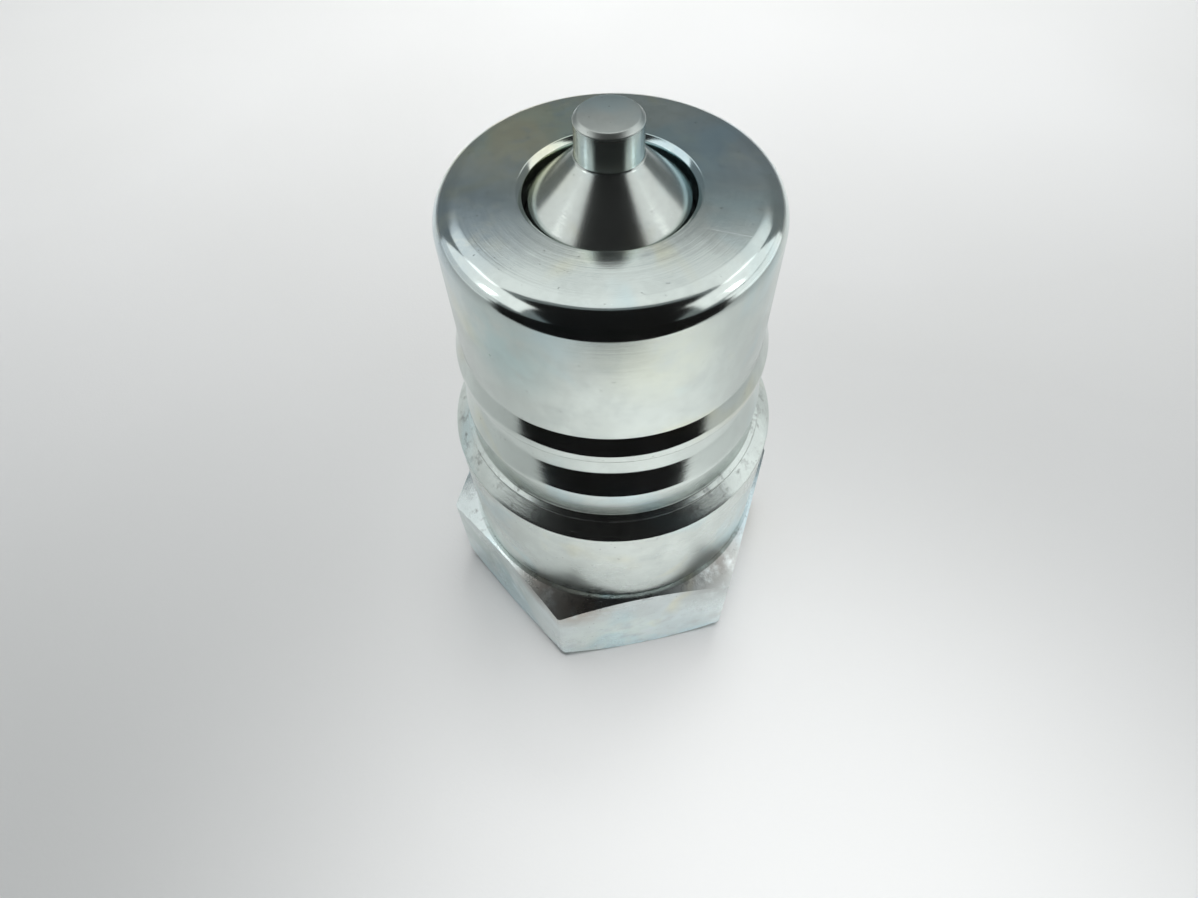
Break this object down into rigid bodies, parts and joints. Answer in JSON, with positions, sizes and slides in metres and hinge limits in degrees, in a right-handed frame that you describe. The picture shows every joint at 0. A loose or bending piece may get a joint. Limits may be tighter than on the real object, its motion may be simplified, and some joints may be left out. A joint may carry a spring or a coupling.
{
  "type": "quick disconnect coupler",
  "caption": "Male hydraulic quick disconnect half with a flat nose, locking groove, sprung poppet valve and a hex end with a pipe-thread port.",
  "frame": {"origin": "centre of the flat bottom face of the hex end, on the coupler's axis, where it stands", "axes": "+Z along the coupler's axis from the hex end to the nose, X through two hex corners, Y square to two hex flats"},
  "size_m": [0.0438, 0.038, 0.0694],
  "materials": {
    "plated_nose": "turned, bright zinc plate, near-mirror on the flanks",
    "plated_hex": "satin zinc plate with a faint blue and yellow tint",
    "poppet_steel": "turned bright steel",
    "pressed_steel": "plain pressed steel",
    "spring_steel": "drawn spring wire",
    "nitrile": "moulded black rubber",
    "ptfe": "white, waxy"
  },
  "bodies": {
    "shell": {"nose_body": "plated_nose", "hex_adapter": "plated_hex", "body_seal": "nitrile", "backup_ring": "ptfe", "valve_guide": "pressed_steel", "guide_clip": "spring_steel", "valve_spring": "spring_steel"},
    "valve": {"poppet": "poppet_steel", "poppet_seal": "nitrile", "seal_retainer": "pressed_steel"}
  },
  "joints": [
    {"name": "poppet_slide", "type": "slide", "parent": "shell", "child": "valve", "axis": [0, 0, -1], "range_m": [0, 0.0069], "stiffness_N_per_m": 2900, "springref_m": -0.008, "deforming": ["valve_spring"]}
  ]
}
